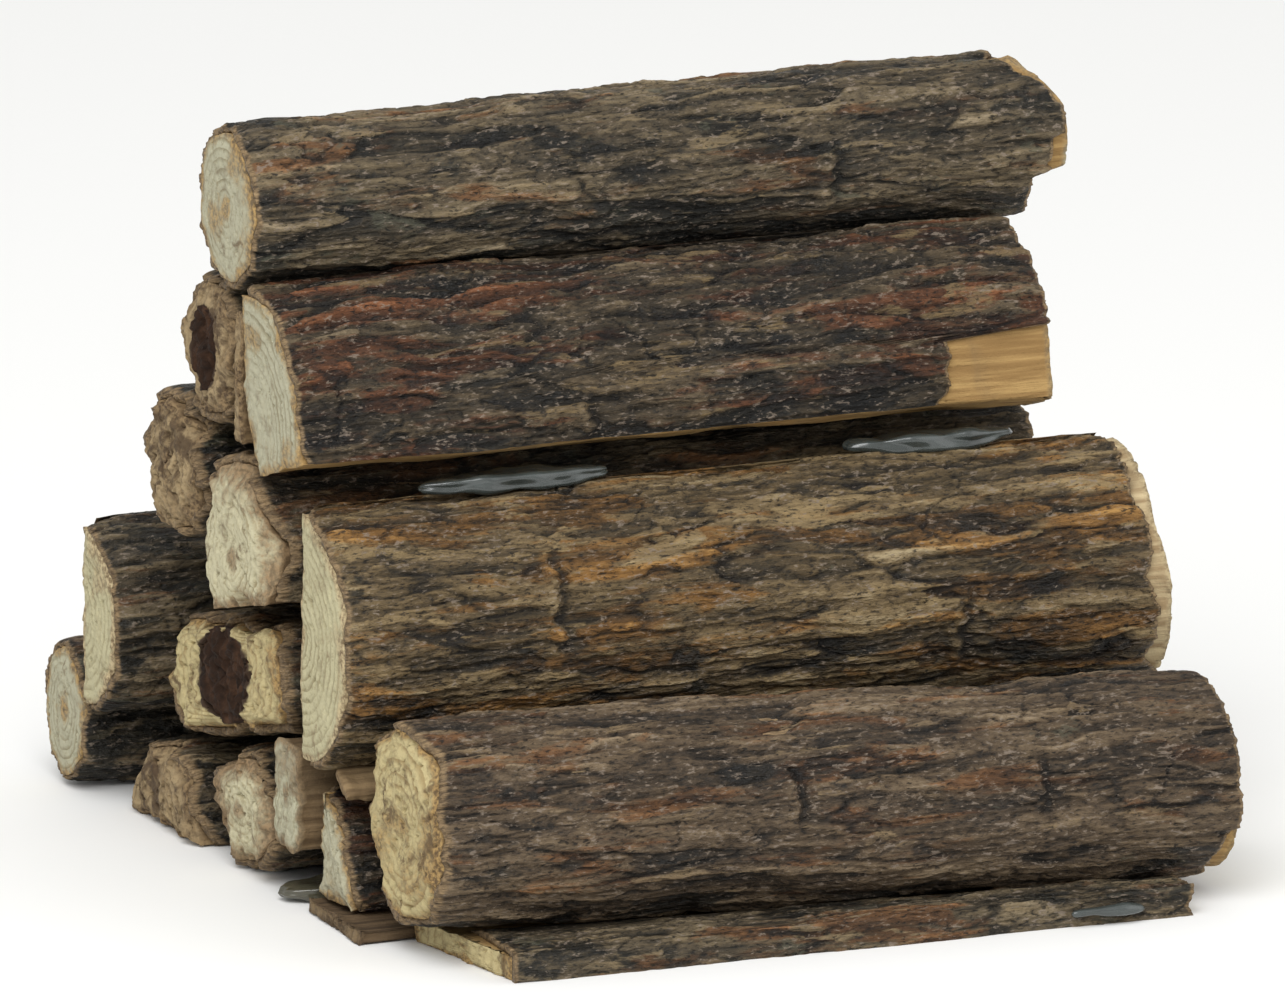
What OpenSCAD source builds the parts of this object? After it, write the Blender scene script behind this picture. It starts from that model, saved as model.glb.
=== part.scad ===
// Stack of miniature firewood logs, glued into one mound for a dolls' house hearth.
// Logs run along X, the open front of the stack faces -Y, and the stack stands on z = 0.
// Every log is an end-grain wood core in its own bark, and small glue beads bridge the gaps.

/* [Logs] */
// Length of a typical log, cut end to cut end
log_len = 39.8; // [38:0.1:41]
// Thickness of the bark
bark_t = 0.45; // [0.3:0.05:0.6]
// Room left between neighbouring pieces
fit = 0.03; // [0.02:0.01:0.05]

/* [Radii over the bark] */
// Round log on top of the stack
top_r = 3.95; // [3.7:0.05:4.1]
// Quarter log at the upper front
quarter_r = 6.3; // [6.1:0.05:6.4]
// Round log at the upper back
crown_r = 3.75; // [3.6:0.05:3.8]
// Log in the middle of the stack
middle_r = 4.85; // [4.6:0.05:4.9]
// Round log behind the middle one
shoulder_r = 3.65; // [3.5:0.05:3.7]
// Half log at the front, above the front log
half_r = 6.2; // [6:0.05:6.25]
// Round log at the bottom of the front
front_r = 4.95; // [4.8:0.05:5]
// Half log high at the back
back_r = 4.75; // [4.5:0.05:4.8]

/* [Floor row] */
// Half width and half height of the rear floor log
rear_size = [2.9, 3.6]; // [2.5:0.1:4]
// Half width and half height of the middle floor log
floor_size = [4.0, 3.0]; // [2.5:0.1:4.5]
// Radius of the half log that lies flat on the floor
low_r = 4.55; // [4.3:0.05:4.6]
// Thickness of the slab under the front log
slab_t = 1.5; // [1.2:0.1:1.6]
// Thickness of the strip under the wedge
strip_t = 0.75; // [0.6:0.05:0.8]

/* [Rotten hearts] */
// Depth of the hollow in front of each dark heart
heart_depth = 0.9; // [0.4:0.1:1.2]
// Half width and half height of the heart of the wide log
wide_heart = [3.1, 2.2]; // [1.5:0.1:3.3]
// Half width and half height of the heart of the crown log
crown_heart = [1.5, 1.9]; // [1:0.1:2.2]

/* [Hidden] */

$fn = 64;
wood_pale = "#cfc9a2";
wood_tan = "#b89a6c";
wood_gold = "#c79a55";
bark_dark = "#4a3f36";
bark_red = "#5a4030";
bark_ochre = "#6e5436";
heart_dark = "#3c2620";
glue_grey = "#8fa3ab";

// Left ends, as X of the cut face: each log sticks out by its own amount
stagger = [-20.0, -20.4, -21.6, -19.5, -18.0];
near_end = stagger[3];
far = 30;          // reaches past every section

// Places of the log axes in the [Y, Z] plane
half_at = [-6.2, 12.95];
front_at = [-15.6, 6.2];
middle_at = [0, 15.3];
shoulder_at = [8.4, 17.85];
quarter_at = [-1.6, 21.65];
wide_at = [3.55, 8.9];
back_at = [16.45, 9.0];
rear_at = [19.45, rear_size[1]];
low_at = [10.4, 0];
floor_at = [1.35, floor_size[1]];
packing_at = [8.7, 12.5];

// Long sides of the flat cuts
quarter_back_y = -0.2;
quarter_toe = [-7.75, 21.3];
quarter_heel = [-2.2, 19.95];
middle_back_y = 4.6;
wide_size = [7.7, 3.0];
wide_tilt = -13;
packing_size = [2.6, 1.55];
splint_t = 0.9;

// The crown log leans on the splint and lies on the shoulder log
crown_y = quarter_back_y + splint_t + crown_r + 2 * fit;
crown_at = [crown_y, shoulder_at[1] + leg(shoulder_r + crown_r + fit, shoulder_at[0] - crown_y)];
top_at = nest(crown_at, crown_r, quarter_at, quarter_r, top_r);

// Second leg of a right triangle
function leg(hypotenuse, other) = sqrt(hypotenuse * hypotenuse - other * other);

// Centre of a log of radius r that lies over two others, a behind and b in front
function nest(a, ra, b, rb, r) =
    let (da = ra + r + fit,
         db = rb + r + fit,
         d = norm(b - a),
         u = (b - a) / d,
         along = (d * d + da * da - db * db) / (2 * d))
    a + along * u + leg(da, along) * [u[1], -u[0]];

// Extrudes a [Y, Z] section along X, from one end to the other
module along_x(ends) {
    translate([ends[0], 0, 0])
        rotate([90, 0, 90])
            linear_extrude(ends[1] - ends[0])
                children();
}

// Turns a piece about its left end: up at the right end by pitch, forward by yaw
module lean(x, at, pitch, yaw) {
    translate([x, at[0], at[1]])
        rotate([0, -pitch, -yaw])
            translate([-x, -at[0], -at[1]])
                children();
}

// Disc in the section plane
module disc(at, r) {
    translate(at)
        circle(r);
}

// Oval in the section plane, as a fine outline
module oval(at, size, turn = 0) {
    steps = 48;
    translate(at)
        rotate(turn)
            polygon([for (i = [0 : steps - 1])
                [size[0] * cos(360 * i / steps), size[1] * sin(360 * i / steps)]]);
}

// Rounded slab outline, the section of a wide split log
module slab_outline(at, size, corner, turn) {
    translate(at)
        rotate(turn) {
            square([2 * size[0] - 2 * corner, 2 * size[1]], center = true);
            square([2 * size[0], 2 * size[1] - 2 * corner], center = true);
            for (sx = [-1, 1], sy = [-1, 1])
                translate([sx * (size[0] - corner), sy * (size[1] - corner)])
                    circle(corner);
        }
}

// Keeps the part of a section on the -Y side of y
module in_front_of(y) {
    intersection() {
        children();
        translate([y - 2 * far, -far])
            square([2 * far, 3 * far]);
    }
}

// Keeps the part of a section above z
module above(z) {
    intersection() {
        children();
        translate([-far, z])
            square([2 * far, 2 * far]);
    }
}

// Core and bark of a section: the first child is the outer outline, the second the core
module ring() {
    difference() {
        children(0);
        children(1);
    }
}

// --- Round log on top ---
top_x = [stagger[0], stagger[0] + log_len + 0.5];
top_pitch = 0.4;

module top_log_wood() {
    color(wood_pale)
        lean(top_x[0], top_at, top_pitch, 0)
            along_x(top_x)
                disc(top_at, top_r - bark_t);
}

module top_log_bark() {
    color(bark_dark)
        lean(top_x[0], top_at, top_pitch, 0)
            along_x(top_x)
                ring() {
                    disc(top_at, top_r);
                    disc(top_at, top_r - bark_t);
                }
}

// --- Quarter log at the upper front ---
quarter_x = [stagger[0], 17.3];
chip_len = 5;
chip_top_z = 24.6;

module quarter_cut(r) {
    intersection() {
        disc(quarter_at, r);
        polygon([quarter_heel, [quarter_back_y, quarter_heel[1] + 3.5], [quarter_back_y, far],
                 [-far, far], [-far, quarter_toe[1]], quarter_toe]);
    }
}

module quarter_log_wood() {
    color(wood_pale)
        along_x(quarter_x)
            quarter_cut(quarter_r - bark_t);
}

// The bark has broken away from the lower part of the right end
module quarter_log_bark() {
    color(bark_red)
        difference() {
            along_x(quarter_x)
                ring() {
                    quarter_cut(quarter_r);
                    disc(quarter_at, quarter_r - bark_t);
                }
            translate([quarter_x[1] - chip_len, -far, chip_top_z - far])
                cube([far, far, far]);
        }
}

// --- Crown log at the upper back, with a dark heart ---
crown_x = [stagger[0], 18.6];

module crown_log_wood() {
    color(wood_tan)
        along_x(crown_x)
            ring() {
                disc(crown_at, crown_r - bark_t);
                oval(crown_at, crown_heart);
            }
}

module crown_log_bark() {
    color(bark_dark)
        along_x(crown_x)
            ring() {
                disc(crown_at, crown_r);
                disc(crown_at, crown_r - bark_t);
            }
}

module crown_log_heart() {
    color(heart_dark)
        along_x([crown_x[0] + heart_depth, crown_x[1]])
            oval(crown_at, crown_heart);
}

// --- Middle log, cleft behind and below, where it lies on the wide log ---
middle_x = [stagger[1], 18.3];

module middle_cut(r) {
    intersection() {
        in_front_of(middle_back_y)
            disc(middle_at, r);
        translate(wide_at)
            rotate(wide_tilt)
                translate([-far, wide_size[1] + fit])
                    square([2 * far, 2 * far]);
    }
}

module middle_log_wood() {
    color(wood_pale)
        along_x(middle_x)
            middle_cut(middle_r - bark_t);
}

module middle_log_bark() {
    color(bark_dark)
        along_x(middle_x)
            ring() {
                middle_cut(middle_r);
                disc(middle_at, middle_r - bark_t);
            }
}

// --- Shoulder log, behind the middle one ---
shoulder_x = [stagger[1], 17.8];

module shoulder_log_wood() {
    color(wood_tan)
        along_x(shoulder_x)
            disc(shoulder_at, shoulder_r - bark_t);
}

module shoulder_log_bark() {
    color(bark_dark)
        along_x(shoulder_x)
            ring() {
                disc(shoulder_at, shoulder_r);
                disc(shoulder_at, shoulder_r - bark_t);
            }
}

// --- Packing stick under the shoulder log, set back from the ends ---
packing_x = [-17.2, 17];

module packing_stick_wood() {
    color(wood_tan)
        along_x(packing_x)
            oval(packing_at, packing_size - [bark_t, bark_t]);
}

module packing_stick_bark() {
    color(bark_dark)
        along_x(packing_x)
            ring() {
                oval(packing_at, packing_size);
                oval(packing_at, packing_size - [bark_t, bark_t]);
            }
}

// --- Wide split log with a large dark heart ---
wide_x = [near_end, 18.4];
wide_corner = 2.4;

module wide_log_wood() {
    color(wood_tan)
        along_x(wide_x)
            ring() {
                slab_outline(wide_at, wide_size - [bark_t, bark_t], wide_corner - bark_t, wide_tilt);
                oval(wide_at, wide_heart, wide_tilt);
            }
}

module wide_log_bark() {
    color(bark_dark)
        along_x(wide_x)
            ring() {
                slab_outline(wide_at, wide_size, wide_corner, wide_tilt);
                slab_outline(wide_at, wide_size - [bark_t, bark_t], wide_corner - bark_t, wide_tilt);
            }
}

module wide_log_heart() {
    color(heart_dark)
        along_x([wide_x[0] + heart_depth, wide_x[1]])
            oval(wide_at, wide_heart, wide_tilt);
}

// --- Half log at the front, flat side to the back ---
half_x = [near_end, 21.6];

module half_cut(r) {
    in_front_of(half_at[0])
        disc(half_at, r);
}

module half_log_wood() {
    color(wood_pale)
        along_x(half_x)
            half_cut(half_r - bark_t);
}

module half_log_bark() {
    color(bark_ochre)
        along_x(half_x)
            ring() {
                half_cut(half_r);
                disc(half_at, half_r - bark_t);
            }
}

// --- Half log high at the back, flat side to the back ---
back_x = [stagger[2], 18.1];

module back_cut(r) {
    in_front_of(back_at[0])
        disc(back_at, r);
}

module back_half_log_wood() {
    color(wood_pale)
        along_x(back_x)
            back_cut(back_r - bark_t);
}

module back_half_log_bark() {
    color(bark_dark)
        along_x(back_x)
            ring() {
                back_cut(back_r);
                disc(back_at, back_r - bark_t);
            }
}

// --- Rear floor log ---
rear_x = [stagger[2] + 0.2, 18.4];

module rear_floor_log_wood() {
    color(wood_pale)
        along_x(rear_x)
            oval(rear_at, rear_size - [bark_t, bark_t]);
}

module rear_floor_log_bark() {
    color(bark_dark)
        along_x(rear_x)
            ring() {
                oval(rear_at, rear_size);
                oval(rear_at, rear_size - [bark_t, bark_t]);
            }
}

// --- Half log lying on its flat side on the floor ---
low_x = [stagger[0] - 0.1, 17.5];

module low_half_log_wood() {
    color(wood_tan)
        along_x(low_x)
            above(0)
                disc(low_at, low_r - bark_t);
}

module low_half_log_bark() {
    color(bark_dark)
        along_x(low_x)
            above(0)
                ring() {
                    disc(low_at, low_r);
                    disc(low_at, low_r - bark_t);
                }
}

// --- Middle floor log ---
floor_x = [near_end - 0.1, 18];

module floor_log_wood() {
    color(wood_pale)
        along_x(floor_x)
            oval(floor_at, floor_size - [bark_t, bark_t]);
}

module floor_log_bark() {
    color(bark_dark)
        along_x(floor_x)
            ring() {
                oval(floor_at, floor_size);
                oval(floor_at, floor_size - [bark_t, bark_t]);
            }
}

// --- Front log, which dips and swings forward a little towards its right end ---
front_x = [stagger[4], 20.8];
front_pitch = -1.4;
front_yaw = 1.6;

module front_log_wood() {
    color(wood_gold)
        lean(front_x[0], front_at, front_pitch, front_yaw)
            along_x(front_x)
                disc(front_at, front_r - bark_t);
}

module front_log_bark() {
    color(bark_dark)
        lean(front_x[0], front_at, front_pitch, front_yaw)
            along_x(front_x)
                ring() {
                    disc(front_at, front_r);
                    disc(front_at, front_r - bark_t);
                }
}

// Room that the front log takes up, for the pieces bedded against it
module front_log_room() {
    lean(front_x[0], front_at, front_pitch, front_yaw)
        along_x([front_x[0] - 2, front_x[1] + 2])
            disc(front_at, front_r + fit);
}

// --- Wedge that stands between the floor row and the front log ---
wedge_x = [-18.7, 17.6];
wedge_tip = [-6.9, 6.4];
wedge_back_y = -6.3;
wedge_r = 6.9;
wedge_hub = [-3.9, 0.2];

module wedge_cut(r) {
    intersection() {
        disc(wedge_hub, r);
        polygon([[wedge_back_y, strip_t + fit], wedge_tip, [-far, wedge_tip[1]], [-far, strip_t + fit]]);
    }
}

module wedge_wood() {
    color(wood_pale)
        along_x(wedge_x)
            wedge_cut(wedge_r - bark_t);
}

module wedge_bark() {
    color(bark_red)
        along_x(wedge_x)
            ring() {
                wedge_cut(wedge_r);
                disc(wedge_hub, wedge_r - bark_t);
            }
}

// --- Slab under the front log, with a slanted left end and bark along its front ---
slab_y = [-21.9, -13.0];
slab_x = [-16.6, 18.3];
slab_slant = 1.6;

module slab_block(y0, y1) {
    slope = slab_slant / (slab_y[1] - slab_y[0]);
    difference() {
        linear_extrude(slab_t)
            polygon([[slab_x[0] + (slab_y[1] - y0) * slope, y0], [slab_x[1], y0],
                     [slab_x[1], y1], [slab_x[0] + (slab_y[1] - y1) * slope, y1]]);
        front_log_room();
    }
}

module base_slab_wood() {
    color(wood_gold)
        slab_block(slab_y[0] + bark_t, slab_y[1]);
}

module base_slab_bark() {
    color(bark_dark)
        slab_block(slab_y[0], slab_y[0] + bark_t);
}

// --- Strip under the wedge ---
module base_strip() {
    color(wood_tan)
        along_x([-19.2, 17.2])
            translate([slab_y[1] + fit, 0])
                square([6.6, strip_t]);
}

// --- Slat on edge between the floor log and the wedge ---
slat_y = [-5.95, -2.75];
slat_z = [2.5, 7.6];

module upright_slat() {
    color(wood_pale)
        along_x([near_end, 17.9])
            slab_outline([(slat_y[0] + slat_y[1]) / 2, (slat_z[0] + slat_z[1]) / 2],
                         [(slat_y[1] - slat_y[0]) / 2, (slat_z[1] - slat_z[0]) / 2], 0.8, 0);
}

// --- Thin splint between the quarter log and the crown log ---
module splint() {
    color(wood_tan)
        along_x([stagger[0], 16.8])
            translate([quarter_back_y + fit, 20.6])
                square([splint_t, 6.2]);
}

// --- Flake of bark caught between the half log, the wedge and the front log ---
module bark_flake() {
    color(wood_tan)
        translate([near_end + 3.3, -9.55, 6.7])
            rotate([35, 0, 0])
                cube([5, 1.7, 0.5], center = true);
}

// --- Glue beads, shaped by the gaps that they fill ---
module front_gap_bead(x) {
    color(glue_grey)
        along_x(x)
            difference() {
                translate([-7.3, 18.2])
                    square([2.2, 3.4]);
                quarter_cut(quarter_r);
                polygon([quarter_heel - [0, fit], quarter_toe - [0, fit], [-far, far], [far, far]]);
                disc(half_at, half_r + fit);
            }
}

module glue_bead_left() {
    front_gap_bead([-13.5, -4.5]);
}

module glue_bead_right() {
    front_gap_bead([7.5, 15.5]);
}

module glue_bead_front() {
    color(glue_grey)
        difference() {
            translate([12.2, slab_y[0] - 0.4, 0.5])
                cube([3.4, 0.4, 0.9]);
            front_log_room();
        }
}

module glue_bead_low() {
    color(glue_grey)
        along_x([near_end, -9])
            difference() {
                translate([-5.9, 0])
                    square([3.5, 2.4]);
                oval(floor_at, floor_size + [fit, fit]);
            }
}

module glue_bead_back() {
    color(glue_grey)
        along_x([-15, 12])
            difference() {
                translate([13.2, 0])
                    square([4.6, 1.2]);
                disc(low_at, low_r + fit);
                oval(rear_at, rear_size + [fit, fit]);
            }
}

top_log_wood();
top_log_bark();
quarter_log_wood();
quarter_log_bark();
crown_log_wood();
crown_log_bark();
crown_log_heart();
middle_log_wood();
middle_log_bark();
shoulder_log_wood();
shoulder_log_bark();
packing_stick_wood();
packing_stick_bark();
wide_log_wood();
wide_log_bark();
wide_log_heart();
half_log_wood();
half_log_bark();
back_half_log_wood();
back_half_log_bark();
rear_floor_log_wood();
rear_floor_log_bark();
low_half_log_wood();
low_half_log_bark();
floor_log_wood();
floor_log_bark();
front_log_wood();
front_log_bark();
wedge_wood();
wedge_bark();
base_slab_wood();
base_slab_bark();
base_strip();
upright_slat();
splint();
bark_flake();
glue_bead_left();
glue_bead_right();
glue_bead_front();
glue_bead_low();
glue_bead_back();
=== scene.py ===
"""Looks of a glued mound of miniature firewood logs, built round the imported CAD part.

Every log is a wood core with rough end grain inside a shell of ridged bark. Both are grids of
points, lofted along the sections of their CAD nodes. Lengths in the shape code are millimetres
in the CAD frame, and they turn into metres when a mesh is made.
"""

import math
from dataclasses import dataclass

import bpy
import numpy as np
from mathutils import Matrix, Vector
from mathutils.geometry import convex_hull_2d


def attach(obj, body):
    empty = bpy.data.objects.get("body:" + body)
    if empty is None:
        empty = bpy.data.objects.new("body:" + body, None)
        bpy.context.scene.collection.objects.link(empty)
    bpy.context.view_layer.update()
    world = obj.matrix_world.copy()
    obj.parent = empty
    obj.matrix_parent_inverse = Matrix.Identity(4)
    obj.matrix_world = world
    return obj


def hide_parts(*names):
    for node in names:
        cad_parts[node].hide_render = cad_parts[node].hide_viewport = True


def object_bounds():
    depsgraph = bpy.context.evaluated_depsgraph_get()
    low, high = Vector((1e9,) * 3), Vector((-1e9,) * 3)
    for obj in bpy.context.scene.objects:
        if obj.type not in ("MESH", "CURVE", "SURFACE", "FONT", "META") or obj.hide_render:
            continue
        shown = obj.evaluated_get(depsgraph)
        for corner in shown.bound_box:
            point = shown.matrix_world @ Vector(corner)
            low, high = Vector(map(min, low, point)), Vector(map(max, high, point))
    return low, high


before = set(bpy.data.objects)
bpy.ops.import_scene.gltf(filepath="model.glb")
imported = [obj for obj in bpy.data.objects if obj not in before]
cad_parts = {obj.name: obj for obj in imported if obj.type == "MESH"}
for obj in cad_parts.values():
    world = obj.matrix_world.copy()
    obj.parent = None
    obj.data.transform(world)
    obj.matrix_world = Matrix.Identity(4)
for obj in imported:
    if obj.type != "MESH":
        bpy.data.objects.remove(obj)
cad_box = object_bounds()

MM = 0.001

# Grid spacing of the finest bark, along and around the log
BARK_STEP = (0.14, 0.075)
# The surface of a shell of bark stays between these heights over its CAD surface
BARK_LOWEST = -0.37
BARK_HIGHEST = 0.17


# --- Repeatable noise ---

WORD = 0xFFFFFFFF
TURNS = np.arange(256) * (2 * math.pi / 256)
COSINES = np.cos(TURNS)
SINES = np.sin(TURNS)


def scramble(i, j, seed):
    """Repeatable 32-bit numbers for the points of a lattice."""
    mixed = (i * 374761393 + j * 668265263 + seed * 1274126177) & WORD
    mixed = ((mixed ^ (mixed >> 13)) * 1103515245) & WORD
    return mixed ^ (mixed >> 16)


def ease(t):
    """Smooth step from 0 to 1."""
    return t * t * t * (t * (t * 6 - 15) + 10)


def bell(distance, width, power=2):
    """1 at distance 0, falling smoothly to 0 beyond the width."""
    return np.exp(-((distance / width) ** power))


def gradient_noise(a, b, seed, wrap):
    """Smooth noise from about -1 to 1, which repeats after `wrap` cells of b."""
    i = np.floor(a).astype(np.int64)
    j = np.floor(b).astype(np.int64)
    total = 0.0
    for di in (0, 1):
        for dj in (0, 1):
            turn = scramble(i + di, (j + dj) % wrap, seed) & 255
            da = a - i - di
            db = b - j - dj
            slope = COSINES[turn] * da + SINES[turn] * db
            total = total + slope * ease(1 - abs(da)) * ease(1 - abs(db))
    return 1.6 * total


def layered_noise(a, b, seed, octaves, wrap):
    """Noise with finer and fainter layers on top."""
    total = 0.0
    for octave in range(octaves):
        total = total + gradient_noise(a, b, seed + 31 * octave, wrap) / 2**octave
        a = 2 * a
        b = 2 * b
        wrap = 2 * wrap
    return total


def plate_pattern(a, b, seed, wrap):
    """Irregular plates: distance to the edge in cells, and a random number per plate."""
    i = np.floor(a).astype(np.int64)
    j = np.floor(b).astype(np.int64)
    first = np.full(a.shape, 9.0)
    second = np.full(a.shape, 9.0)
    tone = np.zeros(a.shape)
    for di in (-1, 0, 1):
        for dj in (-1, 0, 1):
            key = scramble(i + di, (j + dj) % wrap, seed)
            da = a - i - di - (key & 1023) / 1023
            db = b - j - dj - ((key >> 10) & 1023) / 1023
            reach = np.hypot(da, db)
            closer = reach < first
            second = np.where(closer, first, np.minimum(second, reach))
            tone = np.where(closer, ((key >> 20) & 1023) / 1023, tone)
            first = np.minimum(first, reach)
    return second - first, tone


class Skin:
    """Noise on a surface: x runs along it and s around it, in mm, and s closes after `girth`."""

    def __init__(self, x, s, girth, seed):
        self.x, self.s = np.broadcast_arrays(x, s)
        self.girth = girth
        self.seed = seed

    def grid(self, long, wide):
        count = max(2, round(self.girth / wide))
        return self.x / long, self.s * count / self.girth, count

    def noise(self, long, wide, layer, octaves=1):
        a, b, count = self.grid(long, wide)
        return layered_noise(a, b, self.seed + layer, octaves, count)

    def plates(self, long, wide, layer):
        a, b, count = self.grid(long, wide)
        return plate_pattern(a, b, self.seed + layer, count)

    def moved(self, dx, ds):
        return Skin(self.x + dx, self.s + ds, self.girth, self.seed)


WIDE_GIRTH = 400.0      # a girth in mm that is too wide for a flat field's noise to repeat


def flat_skin(y, z, seed):
    """A skin over a cut face."""
    return Skin(y + 50, z + 50, WIDE_GIRTH, seed)


# --- Sections read from the CAD nodes ---

END_DEPTH = 0.8         # mm of a node's end that its outline is read from
OUTLINE_POINTS = 1440   # points of a log's outline in the search for its bark


def read_rows(collection, key):
    """The x, y, z values of a Blender collection, as rows."""
    values = np.empty(3 * len(collection))
    collection.foreach_get(key, values)
    return values.reshape(-1, 3)


def node_points(node):
    """The corners of a CAD node, as rows of x, y, z in mm."""
    return read_rows(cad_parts[node].data.vertices, "co") / MM


def end_outline(points, side):
    """Convex outline in y, z of a node's left (side -1) or right (side 1) end."""
    reach = side * points[:, 0]
    near = points[reach > reach.max() - END_DEPTH][:, 1:]
    hull = convex_hull_2d([Vector(p) for p in near])
    return near[hull]


def closed_up(line, closed):
    """A line through y, z, with its first point once more at the end if it is closed."""
    return np.vstack([line, line[:1]]) if closed else line


def resample(line, count, closed):
    """A line through y, z as `count` points at even distances."""
    line = closed_up(line, closed)
    steps = np.hypot(*np.diff(line, axis=0).T)
    travelled = np.concatenate([[0], np.cumsum(steps)])
    wanted = np.linspace(0, travelled[-1], count, endpoint=not closed)
    return np.stack([np.interp(wanted, travelled, line[:, k]) for k in (0, 1)], axis=1)


def length_of(line, closed):
    """Length of a line through y, z."""
    return np.hypot(*np.diff(closed_up(line, closed), axis=0).T).sum()


def nearest_on(outline, points):
    """For each point, the nearest point of a closed outline."""
    start = outline[None]
    edge = np.roll(outline, -1, axis=0)[None] - start
    offset = points[:, None] - start
    share = (offset * edge).sum(2) / np.maximum((edge**2).sum(2), 1e-12)
    touch = start + np.clip(share, 0, 1)[..., None] * edge
    best = np.hypot(*(points[:, None] - touch).transpose(2, 0, 1)).argmin(1)
    return touch[np.arange(len(points)), best]


def outward(line, inside, closed):
    """Unit normals of a line through y, z, facing away from the point `inside`."""
    if closed:
        tangent = np.roll(line, -1, axis=0) - np.roll(line, 1, axis=0)
    else:
        tangent = np.gradient(line, axis=0)
    normal = np.stack([tangent[:, 1], -tangent[:, 0]], axis=1)
    normal /= np.hypot(*normal.T)[:, None]
    facing = ((line - inside) * normal).sum()
    return normal if facing > 0 else -normal


def circle_centre(points):
    """Centre of the circle that fits the points best."""
    matrix = np.column_stack([2 * points, np.ones(len(points))])
    answer = np.linalg.lstsq(matrix, (points**2).sum(1), rcond=None)[0]
    return answer[:2]


def middle_of(line):
    """Middle of the box round a line through y, z."""
    return (line.max(0) + line.min(0)) / 2


class Stick:
    """A log or slat as CAD has it: its ends, its outline, its lean, and where it has bark."""

    def __init__(self, wood_node, bark_node=None):
        points = node_points(wood_node)
        self.x0 = points[:, 0].min()
        self.x1 = points[:, 0].max()
        self.core = end_outline(points, -1)
        self.middle = middle_of(self.core)
        self.slope = (middle_of(end_outline(points, 1)) - self.middle) / (self.x1 - self.x0)
        self.slant = 0.0
        self.skin = self.core
        self.strip = None
        self.strip_closed = False
        if bark_node:
            both = np.vstack([points, node_points(bark_node)])
            self.find_bark(end_outline(both, -1))

    def find_bark(self, skin):
        """Finds the stretch of the outline that lies over the core, which is the bark."""
        self.skin = skin
        fine = resample(skin, OUTLINE_POINTS, True)
        cover = np.hypot(*(fine - nearest_on(self.core, fine)).T)
        self.thickness = np.median(cover[cover > 0.5 * cover.max()])
        covered = cover > 0.8 * self.thickness
        self.strip_closed = bool(covered.all())
        if self.strip_closed:
            self.strip = fine
            return
        starts = np.flatnonzero(covered & ~np.roll(covered, 1))
        runs = [np.roll(covered, -first).argmin() for first in starts]
        longest = int(np.argmax(runs))
        self.strip = np.roll(fine, -starts[longest], axis=0)[: runs[longest]]

    def leaning(self, x):
        """How far the section has moved at x."""
        return (x - self.x0)[..., None] * self.slope

    def placed(self, x, yz):
        """Points at x whose places in the section are yz."""
        return np.dstack([x, yz + self.leaning(x)])

    def pith(self):
        """Centre of the year rings."""
        if self.strip is None or self.strip_closed:
            return self.middle
        return circle_centre(self.strip)


# --- Meshes ---


def add_object(name, data):
    """Puts a new object in the scene."""
    made = bpy.data.objects.new(name, data)
    bpy.context.scene.collection.objects.link(made)
    return made


def add_piece(mesh, material, node):
    """Puts a finished mesh in the scene in place of its CAD node."""
    piece = add_object(mesh.name, mesh)
    mesh.materials.append(material)
    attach(piece, "root")
    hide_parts(node)


def write_values(collection, key, values, kind=np.float32):
    """Writes an array into a Blender collection."""
    collection.foreach_set(key, values.astype(kind).ravel())


def volume_of(points, quads):
    """Signed volume inside closed quads."""
    a, b, c, d = (points[quads[:, k]] for k in range(4))
    first = (a * np.cross(b, c)).sum()
    second = (a * np.cross(c, d)).sum()
    return (first + second) / 6


# Rows of the texture: the grid lies below the first number, and each wall and cap has its own row
GRID_TOP = 0.97
CAP_ROWS = (0.98, 0.992)


def grid_faces(index, u, closed_round, closed_along):
    """Quads over a grid of points, and their corners' places in the texture."""
    ring_count, columns = index.shape
    i = np.arange(ring_count - (not closed_along))[:, None]
    j = np.arange(columns - (not closed_round))[None]
    next_i = (i + 1) % ring_count
    next_j = (j + 1) % columns
    quads = np.stack([index[i, j], index[next_i, j], index[next_i, next_j], index[i, next_j]], axis=2)
    v = np.linspace(0, GRID_TOP, columns + closed_round)
    i, j = np.broadcast_arrays(i, j)
    quad_u = np.stack([u[i], u[i + 1], u[i + 1], u[i]], axis=2)
    quad_v = np.stack([v[j], v[j], v[j + 1], v[j + 1]], axis=2)
    return quads.reshape(-1, 4), np.stack([quad_u.ravel(), quad_v.ravel()], axis=1)


def wall_faces(index, u):
    """A face along each open side of a grid, and its corners' places in the texture."""
    ring_count = len(index)
    shift = 0.006 * (np.arange(ring_count) > 0.9 * ring_count)
    for column, row, step in ((0, CAP_ROWS[0], 1), (-1, CAP_ROWS[1], -1)):
        places = np.stack([u[:ring_count], row + shift], axis=1)
        yield index[:, column][::step], places[::step]


def cap_faces(index):
    """A face over each open end of a grid, and its corners' places in the texture."""
    columns = index.shape[1]
    turn = 2 * math.pi * np.arange(columns) / columns
    for ring, row, step in ((0, CAP_ROWS[0], -1), (-1, CAP_ROWS[1], 1)):
        places = np.stack([0.5 + 0.4 * np.cos(turn), row + 0.003 * np.sin(turn)], axis=1)
        yield index[ring][::step], places[::step]


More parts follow.
